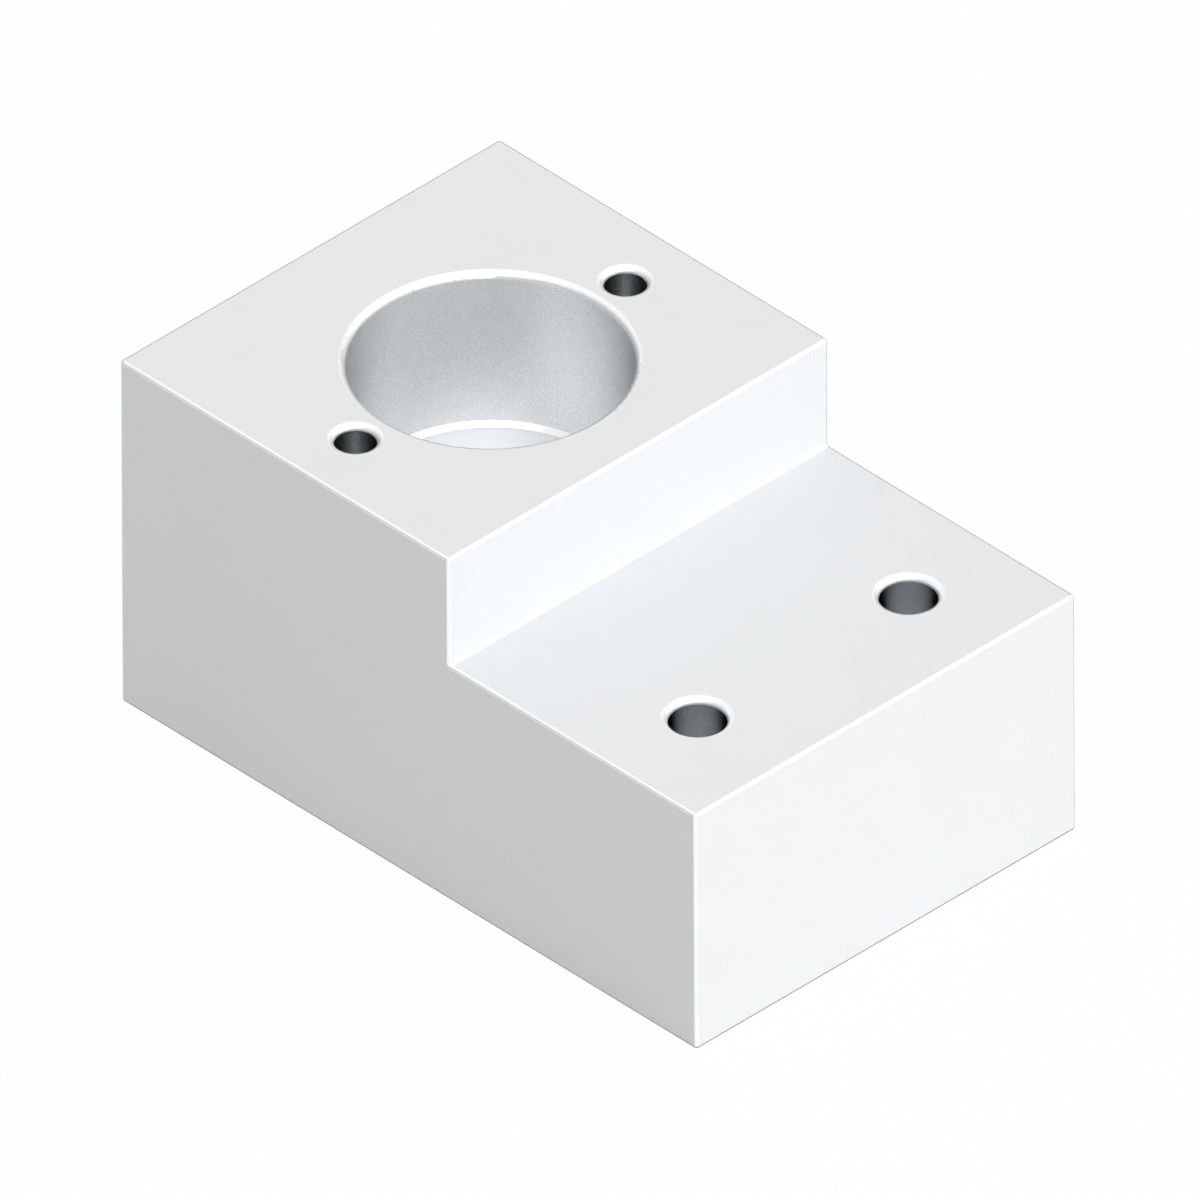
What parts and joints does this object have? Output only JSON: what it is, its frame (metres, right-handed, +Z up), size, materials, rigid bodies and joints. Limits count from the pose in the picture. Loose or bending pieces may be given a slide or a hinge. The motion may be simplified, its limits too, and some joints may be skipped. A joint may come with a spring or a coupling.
{
  "type": "sensor bracket",
  "caption": "Stepped aluminium block with a blind round sensor seat and retaining screw holes in its high end, and a low shelf with through holes that fix it down.",
  "frame": {"origin": "centre of the underside", "axes": "+X from the high head to the low shelf, +Y across the block, +Z up out of the sensor seat"},
  "size_m": [0.07, 0.045, 0.036],
  "materials": {
    "satin_aluminium": "natural satin with a fine even grain"
  },
  "bodies": {
    "root": {"bracket_body": "satin_aluminium"}
  },
  "joints": []
}
